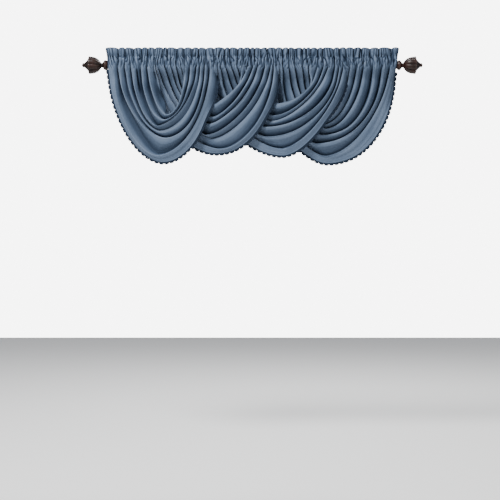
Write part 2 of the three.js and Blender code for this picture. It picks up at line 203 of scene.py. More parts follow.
HEADING_FRONT = [HeadingStep(*step) for step in [
    (0.0940, 0.0, 0.0, 0.0, 1.0), (0.0925, -0.002, 0.0, 0.0, 1.0), (0.088, -0.0035, 0.0, 0.0, 1.0),
    (0.080, -0.005, 0.0, 0.0, 1.0), (0.070, -0.005, 0.0, 0.0, 0.9), (0.062, -0.005, 0.0, 0.3, 0.7),
    (0.054, -0.004, 0.05, 0.6, 0.45), (0.048, -0.003, 0.05, 0.9, 0.3), (0.044, -0.004, 0.1, 1.0, 0.2),
    (0.040, -0.008, 0.15, 1.0, 0.15), (0.035, -0.013, 0.2, 1.0, 0.1), (0.029, -0.018, 0.25, 1.0, 0.05),
    (0.022, -0.0215, 0.3, 1.0, 0.0), (0.014, -0.0235, 0.4, 0.95, 0.0),
    (0.006, -0.0245, 0.55, 0.85, 0.0), (-0.001, -0.0245, 0.7, 0.7, 0.0),
]]
print("heading front of", len(HEADING_FRONT), "steps, back of", len(HEADING_BACK))

# %% Where threads lie across the seven folds
FOLDS = 7
SAMPLES_PER_FOLD = 28
LIP_TURNS = np.radians([150, 120, 90, 60, 30])
LIP_RADIUS = 0.006

even = np.arange(SAMPLES_PER_FOLD) / SAMPLES_PER_FOLD
before = [0.0] * len(LIP_TURNS)
left_across = np.array(before + list(even ** 1.5) * FOLDS + [1.0])
right_across = np.array(before + list(1 - (1 - even) ** 1.5) * FOLDS + [1.0])
fold_of = np.array([0] * len(LIP_TURNS) + [k for k in range(FOLDS) for _ in even] + [FOLDS - 1])
lip_of = np.concatenate([LIP_TURNS, np.zeros(len(fold_of) - len(LIP_TURNS))])
INNER_FOLD = 0
OUTER_FOLD = FOLDS - 1
print(len(fold_of), "threads in each swag")


def threads(swag, side):
    """Where threads lie in the folds of one heading, and how far each stands out."""
    tipped = 0.0 if side == "left" and swag.tipped > 0 else 1.0
    across = mix(left_across, right_across, tipped)
    return across, fold_stand(across, tipped, 1.0)


# %% Where threads cross the rod
END_LAP_FRONT = 0.004
END_LAP_BACK = 0.002
END_TUCK = 0.0035
END_OVER = 0.09
OUTERMOST_X = 0.7
CREST_CLEAR = 0.006


def heading_places(swag, side):
    """x of every thread along the rod at one gathered end, and which way that end tucks."""
    grooves = GROOVES[swag.name + "_" + side]
    lean = swag.left_lean if side == "left" else swag.right_lean
    inner, outer = (grooves[-1], grooves[0]) if side == "left" else (grooves[0], grooves[-1])
    lap = END_LAP_FRONT if lean < 0 else END_LAP_BACK
    way = np.sign(outer - inner)
    inner = inner - way * lap
    outer = outer + (way * lap if abs(outer) < OUTERMOST_X else 0.0)
    crests = np.array([getattr(fold, side) for fold in swag.folds])
    crests[0] = inner
    # Crests keep their places, apart from outer ones that would pass the heading's end.
    inside = [k for k in range(1, FOLDS) if (crests[k] - outer) * way < -CREST_CLEAR]
    for k in range(inside[-1] + 1, FOLDS + 1):
        crests[k] = mix(crests[inside[-1]], outer, (k - inside[-1]) / (FOLDS - inside[-1]))
    x = mix(crests[fold_of], crests[fold_of + 1], threads(swag, side)[0])
    share = (x - inner) / (outer - inner)
    near_end = smooth(1 - np.minimum(share, 1 - share) / END_OVER)
    if abs(outer) > OUTERMOST_X:
        near_end = near_end * (share < 0.5)
    return x, near_end * lean * END_TUCK


places = heading_places(SWAGS[0], "left")[0]
print("left heading of swag_1 runs from", round(places.min(), 3), "to", round(places.max(), 3))

# %% The small puckers of a drawn-up pocket
PUCKER_PITCH = 0.0165
PUCKER_STAND = 0.0052


def pucker(x, height, seed):
    """The short slanted puckers of a drawn-up rod pocket: 1 on a ridge, -1 between ridges."""
    slant = 1.6 * wander(x * 36, height * 45, seed + 13)
    ridge = np.sin(2 * math.pi * x / PUCKER_PITCH + 3.0 * slant + height * 120 * np.sin(x * 61 + seed))
    broken = 0.6 + 0.4 * wander(x * 90, height * 130, seed + 17)
    return ridge * broken


print("pucker at one spot:", pucker(0.1, 0.02, 1).round(3))

# %% [markdown]
# ## The U of a swag
# Below the rod each thread is drawn between two crest lines. Taut cloth leaves the rod in straight
# lines, and bends only further down. The gathers are tight at the rod and grow into loose folds.
# Where one swag passes in front of its neighbour, its hem swings out and turns back at the edge, and
# the neighbour's outer folds lie flat behind it.

# %% The crest lines
STEPS_ALONG = 132
SWAG_STARTS = 0.008
STRAIGHT_TO = 0.115
STRAIGHT_FRONT = 0.35
STRAIGHT_BEHIND = 0.85


def below(z, start, over):
    """0 down to a depth below the rod, then softly up to 1 over a further stretch."""
    return smooth((-z - start) / over)


def crest_line(fold, share):
    """x and z of a crest at shares of the way along its U."""
    first = math.asin((SWAG_STARTS / fold.drop) ** (fold.left_bow / 2))
    last = math.pi - math.asin((SWAG_STARTS / fold.drop) ** (fold.right_bow / 2))
    angle = mix(first, last, share)
    on_left = angle < math.pi / 2
    bow = np.where(on_left, fold.left_bow, fold.right_bow)
    head = np.where(on_left, fold.left, fold.right)
    reach = np.abs(np.cos(angle)) ** (2 / bow)
    return mix(fold.low, head, reach), -fold.drop * np.sin(angle) ** (2 / bow)


def straighten(x, z, amount):
    """Lets crests leave the rod in straight lines, as taut cloth does, and only then bend."""
    for k in range(x.shape[1]):
        at_rod = x[0, k]
        lower = np.interp(STRAIGHT_TO, -z[:, k], x[:, k])
        line = at_rod + (lower - at_rod) * (-z[:, k] - SWAG_STARTS) / (STRAIGHT_TO - SWAG_STARTS)
        x[:, k] = mix(x[:, k], line, amount * (1 - below(z[:, k], 0.045, 0.080)))


def crest_lines(swag, share, seed):
    """x and z of all eight crests of a swag, one row for each step along."""
    lines = [crest_line(fold, share[:, 0]) for fold in swag.folds]
    crest_x = np.stack([line[0] for line in lines], 1)
    crest_z = np.stack([line[1] for line in lines], 1)
    half = STEPS_ALONG // 2
    straighten(crest_x[:half], crest_z[:half], STRAIGHT_BEHIND if swag.left_lean > 0 else STRAIGHT_FRONT)
    straighten(crest_x[:half:-1], crest_z[:half:-1], STRAIGHT_FRONT)
    sway = 0.004 * np.sin(math.pi * share) * wander(share * 7, np.arange(FOLDS + 1)[None] * 1.9, seed)
    crest_z = crest_z + sway
    # On a right arm in front, the opening's edge is tucked in under the first full fold.
    tucked = smooth((share - 0.36) / 0.20) * below(crest_z[:, 1:2], 0.03, 0.10) * (swag.right_lean < 0)
    for line in (crest_x, crest_z):
        line[:, 0] = mix(line[:, 0], mix(line[:, 1], line[:, 2], 0.10), tucked[:, 0])
    return crest_x, crest_z


print("a crest of swag_1 hangs", round(-crest_line(SWAGS[0].folds[0], 0.5)[1], 3), "m down")

# %% How far the cloth hangs out, and how strongly it folds
LOOSEN_FROM = 0.036
LOOSEN_OVER = 0.110
POCKET_LEAN = 0.011
PLEAT_STAND = 0.0098
GATHER = 0.0105


def hang_layer(swag, share, z, loose):
    """y of the middle of the cloth: on the pocket's front at the rod, on the swag's own layer below."""
    middle = (swag.left_layer + swag.right_layer) / 2
    half = (swag.left_layer - swag.right_layer) / 2
    lean = np.where(share < 0.5, swag.left_lean, swag.right_lean) * POCKET_LEAN
    layer = mix(lean, middle + half * np.cos(math.pi * share), loose)
    return mix(HEADING_FRONT[-1].stand, layer, below(z, SWAG_STARTS, 0.075))


def fold_lift(swag, share, z, across, loose, seed):
    """How strongly the folds stand out: tight gathers at the rod, loose folds below."""
    crest_lift = np.array([fold.lift for fold in swag.folds])
    lift = mix(crest_lift[fold_of], crest_lift[fold_of + 1], across)
    cowl_lift = np.where(fold_of == INNER_FOLD, crest_lift[1], lift)
    lift = mix(lift, cowl_lift, below(z, 0.08, 0.11))
    lift = lift * (1 + 0.22 * wander(share * 6, fold_of[None] * 2.3, seed + 5))
    at_rod = PLEAT_STAND * HEADING_FRONT[-1].pleat
    return mix(at_rod, mix(GATHER, lift, loose), below(z, SWAG_STARTS, 0.03))


print("layers of swag_1 and its neighbour:", SWAGS[0].right_layer, SWAGS[1].left_layer)

# %% The section of the folds all along the U
SHORT_PLEAT = 2.50
SHORT_PLEAT_HALF = 0.085
COWL_SINK = (0.08, 0.11)


def fold_section(swag, share, z, crests, across, tipped, seed):
    """How far each thread stands out in its fold, and how much the outer band turns away."""
    crest_x, crest_z = crests
    full = 1 - below(crest_z.mean(1)[:, None], 0.04, 0.13)
    stand = fold_stand(across, tipped, full)
    # Wide folds aren't smooth: a soft second wave runs along them.
    gap = np.hypot(np.diff(crest_x, axis=1), np.diff(crest_z, axis=1))[:, fold_of]
    soft = 0.16 * smooth((gap - 0.035) / 0.045) * np.sin(math.pi * across)
    drift = 1.5 * wander(share * 5, fold_of[None] * 1.3, seed + 21)
    stand = stand + soft * np.sin(2.6 * math.pi * across + drift)
    sunk = np.interp(across, *COWL_SECTION.T)
    sunk = np.where(fold_of == INNER_FOLD, sunk, stand)
    stand = mix(stand, sunk, below(z, *COWL_SINK))
    if swag.tipped > 0:
        # One short extra pleat in the widest fold, which fades out below the pocket.
        short = (1 - below(z, 0.10, 0.07)) * below(z, 0.012, 0.03) * (share < 0.5)
        off = (fold_of + across - SHORT_PLEAT) / SHORT_PLEAT_HALF
        stand = stand - 1.5 * short * np.exp(-off ** 2)
    # The outermost band has no valley. It curls back towards the hem, most of all on a right arm.
    turned = smooth((share - 0.60) / 0.15) * (1 - below(z, 0.15, 0.15))
    turned = turned * (1.0 if swag.right_lean < 0 else 0.6)
    curl = np.where(share < 0.45, 0.10, 1.5 * smooth((share - 0.45) / 0.2)) + 0.7 * turned
    ridge = 0.30 * smooth((gap - 0.03) / 0.04) * np.sin(math.pi * across)
    ridge = ridge * np.sin(3.2 * math.pi * across + 2.0 * wander(share * 4, 0.0, seed + 31))
    return np.where(fold_of == OUTER_FOLD, 1 - curl * across ** 2 + ridge, stand), turned


print("short pleat", SHORT_PLEAT, "folds from the inner edge")

# %% The cloth's painted shade along the U
def u_shade(swag, share, z, across, stand, lift, turned, crinkled):
    """How much painted shade darkens the cloth: more in valleys, on turned hems and between puckers, less
    on wide low folds.
    """
    inner_share = 0.85 if swag.tipped > 0 else 0.55
    outer_share = 0.5 + 0.4 * turned
    shown = np.where(fold_of == INNER_FOLD, inner_share, np.where(fold_of == OUTER_FOLD, outer_share, 1))
    # Painted shade in the valleys: less in shallow folds and a little less in the low ones.
    painted_shade = fold_shade(stand) * smooth(lift / 0.011) * shown * (1 - 0.28 * below(z, 0.12, 0.15))
    # A hem turned away from the light is painted darker.
    painted_shade = np.where(fold_of == OUTER_FOLD, np.maximum(painted_shade, 0.66 * turned * smooth(across)), painted_shade)
    # Arms hanging behind get less painted shade, least of all in their outer folds.
    if swag.left_lean > 0:
        lighter = painted_shade ** 1.7 * (1 - 0.85 * smooth((fold_of + across - 4.4) / 1.2))
        painted_shade = np.where(share < 0.4, lighter, painted_shade)
    # The hollows between the pocket's puckers are painted darker as well.
    return np.maximum(painted_shade, 0.95 * smooth((0.10 - crinkled) / 0.75) * (crinkled != 0))


print("shade of a valley:", fold_shade(VALLEY).round(2))

# %% Where swags cross
BEHIND_SHIFT = 0.015
HEM_SWING = 0.019
HEM_TURN = 0.026


def crossed(swag, share, x, y, z, across, turned):
    """x and y where swags cross: an arm behind lies back, a hem in front swings out and turns back."""
    row = fold_of + across
    y = y + np.where(fold_of == OUTER_FOLD, HEM_TURN * turned * below(z, 0.0, 0.05) * across ** 2, 0)
    if swag.left_lean > 0:
        behind = smooth((row - 4.8) / 1.5) * below(z, 0.02, 0.05) * smooth((0.40 - share) / 0.2)
        y = y + BEHIND_SHIFT * behind
    if swag.right_lean < 0:
        swing = below(z, 0.0, 0.04) * (1 - below(z, 0.15, 0.17)) * smooth((share - 0.5) / 0.2)
        x = x + HEM_SWING * swing * smooth((row - 5.7) / 1.3)
    spread = swag.spread * smooth((row - 4.5) / 2.2) * below(z, 0.03, 0.09)
    return x - spread * smooth((0.42 - share) / 0.25), y


print("hems in front swing out by", HEM_SWING * 1000, "mm")

# %% All threads of a U
def swag_u(swag, seed):
    """The threads of the U as arrays of x, y, z, one row for each step along, and their painted shade."""
    share = np.linspace(0, 1, STEPS_ALONG + 1)[:, None]
    crest_x, crest_z = crest_lines(swag, share, seed)
    tipped = smooth((share - swag.tipped + 0.17) / 0.34)
    across = mix(left_across, right_across, tipped)
    x = mix(crest_x[:, fold_of], crest_x[:, fold_of + 1], across)
    z = mix(crest_z[:, fold_of], crest_z[:, fold_of + 1], across)
    loose = below(z, LOOSEN_FROM, LOOSEN_OVER)
    layer = hang_layer(swag, share, z, loose)
    lift = fold_lift(swag, share, z, across, loose, seed)
    stand, turned = fold_section(swag, share, z, (crest_x, crest_z), across, tipped, seed)

    # The pocket's puckers run out in the first few centimetres below it.
    crinkled = np.stack([pucker(x[k], z[k].mean(), seed + (0 if share[k] < 0.5 else 20))
                         for k in range(len(x))])
    fade = 0.034 + 0.020 * wander(fold_of[None] * 2.9, 0.0, seed + 8)
    crinkled = crinkled * HEADING_FRONT[-1].pucker * (1 - below(z, SWAG_STARTS, fade))
    y = layer - lift * stand - PUCKER_STAND * 0.8 * crinkled
    # How much painted shade darkens each point's colour.
    painted_shade = u_shade(swag, share, z, across, stand, lift, turned, crinkled)

    # At the rod the threads meet their headings.
    left_x, left_tuck = heading_places(swag, "left")
    right_x, right_tuck = heading_places(swag, "right")
    gathered = 1 - below(z, SWAG_STARTS, 0.09)
    on_left = share < 0.5
    shift = np.where(on_left, left_x - x[:1], right_x - x[-1:])
    x = x + shift * gathered
    y = y + np.where(on_left, left_tuck, right_tuck) * gathered
    x, y = crossed(swag, share, x, y, z, across, turned)

    # The opening's edge is rolled round into a small lip.
    inward_x = crest_x[:, :1] - crest_x[:, 1:2]
    inward_z = crest_z[:, :1] - crest_z[:, 1:2]
    size = np.hypot(inward_x, inward_z) + 1e-9
    turn = np.sin(lip_of) * LIP_RADIUS * loose
    x = x + turn * inward_x / size
    z = z + turn * inward_z / size
    y = y + (1 - np.cos(lip_of)) * LIP_RADIUS
    return np.stack([x, y, z], 2), painted_shade


print("one U is", swag_u(SWAGS[0], 1)[0].shape)

# %% [markdown]
# ## The gathered heading
# Where a rod pocket is pushed together, three kinds of gathers lie over each other: the pleats of the
# swag below, the short puckers over the rod, and the upright bumps of the ruffle with dark slits
# between them. Each is a small function, and the heading's steps say how strongly it shows there.

# %% The ruffle
RUFFLE_STAND = 0.0150
RUFFLE_DIP = 0.0042
SMALL_STAND = 0.0065
SMALL_PLEAT = 0.0175
SLIT_WIDTH = 0.0045


def ruffle_bump(x, grooves):
    """How far the ruffle bulges at places along the rod, and how far into a slit each place lies, with a
    painted shadow over one side of each bump.
    """
    at = np.clip(np.searchsorted(grooves, x) - 1, 0, len(grooves) - 2)
    edges = np.array(grooves)
    phase = np.clip((x - edges[at]) / (edges[at + 1] - edges[at]), 0, 1)
    skewed = phase ** (1.0 + 0.25 * np.sin(at * 2.4))
    off = np.minimum(np.abs(x - edges[at]), np.abs(x - edges[at + 1]))
    # A painted shadow over the right part of each bump, which also sets that part back a little.
    shadow = 0.36 * smooth((phase - 0.45) / 0.5) * (0.6 + 0.4 * np.sin(at * 3.7))
    return np.sin(math.pi * skewed) ** 0.5, np.maximum(np.exp(-(off / SLIT_WIDTH) ** 2), shadow)


def small_slit(x, height, seed):
    """The small slanted slits between the big bumps: 1 in the middle of a slit, 0 between slits."""
    slant = (height - 0.06) * 16.0 * wander(x * 23, 0 * x, seed + 7)
    run = x / SMALL_PLEAT + 0.8 * wander(x * 31, 0 * x, seed) + slant
    off = np.abs((run + 0.5) % 1 - 0.5) * SMALL_PLEAT
    strength = 0.84 + 0.40 * wander(x * 47, height * 30, seed + 4)
    return strength * np.exp(-(off / (0.72 * SLIT_WIDTH)) ** 2)


print("small slit at one spot:", small_slit(-0.7, 0.06, 1).round(2))

# %% All rows of a heading
END_FLARE = 0.017
FLARE_REACH = 0.06
BACK_PUFF = 0.6
BACK_SEED = 11


def heading_rows(swag, side, seed):
    """Rows of threads from the seam behind the rod, over the ruffle, down to the swag's first row."""
    x, tuck = heading_places(swag, side)
    grooves = GROOVES[swag.name + "_" + side]
    outer = grooves[0] if side == "left" else grooves[-1]
    flare = END_FLARE * np.sign(outer) if abs(outer) > OUTERMOST_X else 0.0
    at_end = smooth(1 - np.abs(x - outer) / FLARE_REACH)
    bump, slit = ruffle_bump(x, grooves)
    fine = wander(x * 260, 0 * x, seed + 3)
    stand = np.where(fold_of == OUTER_FOLD, 0.95, threads(swag, side)[1])
    rows = []
    painted_shade = []
    for number, step in enumerate(HEADING_BACK + HEADING_FRONT):
        in_front = number >= len(HEADING_BACK)
        crinkle = pucker(x, step.height, seed)
        small = small_slit(x, step.height, seed + (0 if in_front else BACK_SEED))
        puffed = min(1, step.ruffle + 0.7 * step.pucker)
        outwards = -1 if in_front else BACK_PUFF
        here = x + flare * at_end * np.clip(step.height / 0.095, 0, 1)
        y = step.stand - PLEAT_STAND * step.pleat * stand + tuck
        y = y - PUCKER_STAND * step.pucker * (0.8 * crinkle + 0.2 * fine)
        y = y + outwards * RUFFLE_STAND * step.ruffle * (bump - 0.5 * slit - 0.25)
        y = y + outwards * SMALL_STAND * puffed * (0.3 - small)
        y = y + 0.0012 * step.ruffle * fine
        y = y + (1 - np.cos(lip_of)) * LIP_RADIUS * np.sign(-step.stand + 1e-9) * 0.5
        rise = smooth((step.height - 0.044) / 0.05)
        z = step.height + RUFFLE_DIP * rise * (bump - 1 + 0.3 * wander(x * 25, 0 * x, seed + 2))
        z = z + step.pucker * (0.0020 * crinkle + 0.0042 * wander(x * 55, 0 * x, seed + 9))
        rows.append(np.stack([here, y, z], 1))
        # Painted shade: the ruffle's slits, the pleats' valleys and the hollows between puckers are painted
        # darker, and so is a band along the ruffle's top.
        slits = np.minimum(np.maximum(1.5 * slit, 1.2 * small) * puffed, 1)
        pleat = fold_shade(stand) * abs(step.pleat)
        between = (0.35 * step.ruffle + step.pucker) * smooth((0.15 - crinkle) / 0.75)
        top = 0.35 * smooth((step.height - 0.082) / 0.012) + 0 * x
        painted_shade.append(np.max([slits, pleat, between, top], axis=0))
    return np.array(rows), np.array(painted_shade)


print("heading of", len(heading_rows(SWAGS[0], "left", 1)[0]), "rows")

# %% [markdown]
# ## From threads to a sheet of cloth
# The rows of both headings and of the U are laid end to end into one grid of points, which becomes a
# mesh of quads. Its UV map is in metres along and across the threads, so the weave keeps its scale in
# every fold. Three point attributes go to the material: one holds the painted shade of each point's fold,
# the other two how far it is from the stitches. Last, a Solidify modifier gives the sheet its thickness,
# and is applied.

# %% The grid of one panel
SEAM_LOW = -0.036
SEAM_BEHIND = 0.0035
SEAM_SEARCH = 14
RIGHT_SEED = 20


def seam_row(front, seam_height):
    """The row that is sewn to the front cloth behind the rod."""
    nearest = np.argmin(np.abs(front[:SEAM_SEARCH, :, 2] - seam_height), axis=0)
    row = front[nearest, np.arange(front.shape[1])].copy()
    row[:, 1] += SEAM_BEHIND
    return row


def panel_grid(swag, seed):
    """Every point of one whole panel, from the seam of one pocket to the seam of the other."""
    u, painted_shade = swag_u(swag, seed)
    left, left_painted_shade = heading_rows(swag, "left", seed)
    right, right_painted_shade = heading_rows(swag, "right", seed + RIGHT_SEED)
    left_seam = seam_row(u, SEAM_LOW)
    right_seam = seam_row(u[::-1], SEAM_LOW)
    grid = np.concatenate([left_seam[None], left, u, right[::-1], right_seam[None]])
    seam_painted_shade = np.zeros((1, grid.shape[1]))
    return grid, np.concatenate([seam_painted_shade, left_painted_shade, painted_shade, right_painted_shade[::-1], seam_painted_shade])


print("one panel is", panel_grid(SWAGS[0], 3)[0].shape)

# %% The mesh of one sheet
# Rows of a heading that are stitched: where the ruffle ends, on the back and on the front.
STITCH_ROWS = [6, len(HEADING_BACK) + 9]
HEM_STITCH_IN = 0.012
# The most painted shade that the inner side gets, behind the front's crests.
INNER_SHADE = 0.6


def steps_between(points, axis):
    """The distances between neighbouring points along one axis."""
    return np.linalg.norm(np.diff(points, axis=axis), axis=-1)


def run_along(steps):
    """How far each point lies along a line with these steps."""
    return np.concatenate([[0], np.cumsum(steps)])


def set_uv(mesh, uv):
    """Gives a mesh a UV map in metres from one pair of numbers for each vertex."""
    layer = mesh.uv_layers.new(name="cloth")
    corners = np.zeros(len(mesh.loops), int)
    mesh.loops.foreach_get("vertex_index", corners)
    layer.data.foreach_set("uv", uv[corners].ravel())


def set_points(mesh, name, values):
    """Gives a mesh one number for each vertex, which a material can read by name."""
    mesh.attributes.new(name, "FLOAT", "POINT").data.foreach_set("value", values)


def put_in_scene(name, data):
    """A new object that holds this mesh, light or camera."""
    piece = bpy.data.objects.new(name, data)
    bpy.context.scene.collection.objects.link(piece)
    return piece


def pick(piece):
    """Selects this piece alone, as operators act on all that is selected."""
    bpy.ops.object.select_all(action="DESELECT")
    bpy.context.view_layer.objects.active = piece
    piece.select_set(True)


def thicken(piece, thickness):
    """Turns a single layer into a closed sheet, half of it on each side."""
    pick(piece)
    solid = piece.modifiers.new("thickness", "SOLIDIFY")
    solid.thickness = thickness
    solid.offset = 0.0
    bpy.ops.object.modifier_apply(modifier=solid.name)


def sheet_object(name, grid, painted_valley_shade, thickness):
    """A mesh with a cloth-true UV map in metres, thickened into a sheet."""
    rows, columns = grid.shape[:2]
    i, j = np.meshgrid(np.arange(rows - 1), np.arange(columns - 1), indexing="ij")
    a = (i * columns + j).ravel()
    faces = np.stack([a, a + columns, a + columns + 1, a + 1], 1)
    mesh = bpy.data.meshes.new(name)
    mesh.from_pydata(grid.reshape(-1, 3).tolist(), [], faces.tolist())
    v = run_along(steps_between(grid, 0).mean(1))
    u = run_along(steps_between(grid, 1)[rows // 2 - 8:rows // 2 + 8].mean(0))
    set_uv(mesh, np.stack(np.meshgrid(u, v), 2).reshape(-1, 2))
    stitched = v[[1 + row for row in STITCH_ROWS] + [rows - 2 - row for row in STITCH_ROWS]]
    off = v[:, None] - stitched[None]
    off = off[np.arange(rows), np.abs(off).argmin(1)]
    # The painted shade of the folds goes to the material as a point attribute.
    set_points(mesh, "painted_valley_shade", painted_valley_shade.ravel())
    set_points(mesh, "row_off", np.repeat(off, columns))
    set_points(mesh, "hem_off", np.tile(u[-1] - u - HEM_STITCH_IN, rows))
    mesh.shade_smooth()
    piece = put_in_scene(name, mesh)
    thicken(piece, thickness)
    # A crest seen from the front is a valley seen from behind, so the inner side gets its painted shade the
    # other way round.
    places = np.zeros(len(mesh.vertices) * 3)
    mesh.vertices.foreach_get("co", places)
    y = places.reshape(-1, 3)[:2 * rows * columns, 1].reshape(2, rows, columns)[:, rows // 2].mean(1)
    inner_side = INNER_SHADE * (1 - painted_valley_shade.ravel())
    sides = [painted_valley_shade.ravel(), inner_side] if y[0] < y[1] else [inner_side, painted_valley_shade.ravel()]
    mesh.attributes["painted_valley_shade"].data.foreach_set("value", np.concatenate(sides))
    return piece


print("stitched rows of a heading:", STITCH_ROWS)

# %% The four valances
CLOTH_THICKNESS = 0.0016
SEED_STEP = 3
panels = []
grids = {}
for number, swag in enumerate(SWAGS, 1):
    grid, painted_valley_shade = panel_grid(swag, SEED_STEP * number)
    grids[swag.name] = grid
    panel = sheet_object("valance_" + str(number), grid, painted_valley_shade, CLOTH_THICKNESS)
    heads = ["heading_%d_%s" % (number, side) for side in ("left", "right")]
    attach(panel, "root")
    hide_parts(swag.name, *heads)
    panels.append(panel)
    width = steps_between(grid, 1)
    length = steps_between(grid, 0)
    area = (width[:-1] * length[:, :-1]).sum()
    print(panel.name, "threads of", round(float(length.sum(0)[-1]), 2), "m at the hem,",
          round(float(length.sum(0)[6]), 2), "m at the inner edge, area", round(float(area), 3))

# %% [markdown]
# ## The scalloped braid along each hem
# A dark corded braid is sewn along every hem: a firm cord with a row of small scallops. One scallop
# could be copied along a curve with an Array and a Curve modifier, but copies gape in tight bends. So
# each braid is one closed flat tube in mesh code. Its path is the hem thread of its own sheet, and its
# outer edge swells and narrows once for every scallop.

# %% The shape of the braid
SCALLOP = 0.0275
SCALLOP_DEEP = 0.0075
BRAID_ROOT = 0.0055
BRAID_THICK = 0.0038
CORD_WIDTH = 0.010
YARN_ACROSS = 0.012
STEPS_PER_SCALLOP = 10
# out: share of the way from the cord to the scallop's edge; thick: share of the braid's thickness.
BRAID_SECTION = [(-0.30, 0.0), (-0.22, 0.75), (0.0, 1.0), (0.16, 0.80), (0.26, 0.42), (0.55, 0.60),
                 (0.86, 0.52), (1.0, 0.0)]
BRAID_RING = BRAID_SECTION + [(out, -thick) for out, thick in BRAID_SECTION[-2:0:-1]]


def along_line(points, count):
    """count even steps along a line of points, and the line's length."""
    run = run_along(steps_between(points, 0))
    even = np.linspace(0, run[-1], count)
    return np.stack([np.interp(even, run, points[:, k]) for k in range(3)], 1), run[-1]


print("the braid's section has", len(BRAID_RING), "points")

# %% One braid
def braid_object(name, hem):
    """A scalloped braid along a hem line, closed at both ends."""
    scallops = round(along_line(hem, 400)[1] / SCALLOP)
    count = scallops * STEPS_PER_SCALLOP + 1
    line, length = along_line(hem, count)
    ahead = np.gradient(line, axis=0)
    ahead[:, 1] = 0
    ahead = ahead / np.linalg.norm(ahead, axis=1)[:, None]
    outward = np.stack([ahead[:, 2], 0 * ahead[:, 0], -ahead[:, 0]], 1)
    phase = np.arange(count) / STEPS_PER_SCALLOP % 1
    reach = BRAID_ROOT + SCALLOP_DEEP * np.sqrt(np.clip(1 - (2 * phase - 1) ** 2, 0, 1))
    rows = []
    for out, thick in BRAID_RING:
        row = line + outward * (min(out, 0) * CORD_WIDTH + max(out, 0) * reach)[:, None]
        row[:, 1] += thick * BRAID_THICK / 2
        rows.append(row)
    around = len(BRAID_RING)
    i, j = np.meshgrid(np.arange(count - 1), np.arange(around), indexing="ij")
    a = (i * around + j).ravel()
    b = (i * around + (j + 1) % around).ravel()
    faces = np.stack([a, a + around, b + around, b], 1).tolist()
    faces.append(list(range(around)))
    faces.append([(count - 1) * around + k for k in range(around)][::-1])
    mesh = bpy.data.meshes.new(name)
    mesh.from_pydata(np.stack(rows, 1).reshape(-1, 3).tolist(), [], faces)
    across = np.array([out * YARN_ACROSS for out, _ in BRAID_RING])
    set_uv(mesh, np.stack(np.meshgrid(across, np.linspace(0, length, count)), 2).reshape(-1, 2))
    mesh.shade_smooth()
    print(name, "has", scallops, "scallops")
    return put_in_scene(name, mesh)


print("scallops of", SCALLOP * 1000, "mm")

HEADING_ROWS = len(HEADING_BACK) + len(HEADING_FRONT)
BRAID_BELOW = 0.026
HIDDEN_STEPS = 14
SURE_STEPS = 4


def braided_hem(swag, hem):
    """The stretch of a hem that carries braid, below the pockets."""
    hanging = hem[:, 2] < -BRAID_BELOW
    first = HEADING_ROWS + (HIDDEN_STEPS if swag.left_lean > 0 else 1)
    while not hanging[first:first + SURE_STEPS].all():
        first += 1
    last = len(hem) - HEADING_ROWS - 1
    while not hanging[last - SURE_STEPS:last].all():
        last -= 1
    return hem[first:last]


braids = []
for number, (swag, panel) in enumerate(zip(SWAGS, panels), 1):
    braid = braid_object("braid_" + str(number), braided_hem(swag, grids[swag.name][:, -1]))
    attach(braid, "root")
    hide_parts("trim_" + str(number))
    braids.append(braid)

# %% [markdown]
# ## The finials
# Each rod end carries a turned and carved finial: a squashed ball as its collar, a thin neck, a body
# of eight long petals with a sharp lip, and a ribbed cone with a pointed tip. It could be spun from a
# profile. Here it is made as a turner works, ring after ring: a circle is extruded along the rod and
# scaled at each step. Then the lines between the petals are pressed in.

# %% Turn a finial
# out: distance from the collar's inner face; radius: half the width there.
TURNED_PROFILE = [
    (0.0, 0.0165), (0.0012, 0.0205), (0.0045, 0.0238), (0.0085, 0.0246), (0.0110, 0.0268),
    (0.0150, 0.0276), (0.0190, 0.0266), (0.0212, 0.0240), (0.0250, 0.0205), (0.0280, 0.0155),
    (0.0310, 0.0122), (0.0340, 0.0116), (0.0370, 0.0132), (0.0395, 0.0172), (0.0430, 0.0222),
    (0.0480, 0.0284), (0.0540, 0.0340), (0.0620, 0.0394), (0.0720, 0.0433), (0.0840, 0.0457),
    (0.0950, 0.0469), (0.1010, 0.0482), (0.1033, 0.0478), (0.1042, 0.0455), (0.1052, 0.0405),
    (0.1080, 0.0335), (0.1130, 0.0262), (0.1200, 0.0190), (0.1255, 0.0140), (0.1280, 0.0112),
    (0.1305, 0.0108), (0.1335, 0.0120), (0.1365, 0.0112), (0.1395, 0.0078), (0.1420, 0.0036),
    (0.1428, 0.0010),
]
FINIAL_FROM = 0.778
FINIAL_SIDES = 96


def turned_finial(name, way):
    """A finial on the rod's end: way is -1 for the left end and 1 for the right."""
    bpy.ops.object.select_all(action="DESELECT")
    bpy.ops.mesh.primitive_circle_add(vertices=FINIAL_SIDES, radius=TURNED_PROFILE[0][1], fill_type="NGON",
                                      location=(way * FINIAL_FROM, 0, 0), rotation=(0, math.radians(90), 0))
    piece = bpy.context.object
    piece.name = name
    bpy.ops.object.transform_apply(location=True, rotation=True, scale=True)
    bpy.ops.object.mode_set(mode="EDIT")
    bpy.ops.mesh.select_mode(type="FACE")
    bpy.ops.mesh.select_all(action="SELECT")
    for (out_a, radius_a), (out_b, radius_b) in zip(TURNED_PROFILE, TURNED_PROFILE[1:]):
        bpy.ops.mesh.extrude_region_move(TRANSFORM_OT_translate={"value": (way * (out_b - out_a), 0, 0)})
        size = radius_b / radius_a
        bpy.ops.transform.resize(value=(1, size, size), center_override=(way * (FINIAL_FROM + out_b), 0, 0))
    bpy.ops.object.mode_set(mode="OBJECT")
    return piece


print("a finial is", TURNED_PROFILE[-1][0] * 1000, "mm long")

# %% Press in lines, and close the mesh
TIP_RADIUS = 0.004
SHARP_ANGLE = math.radians(50)


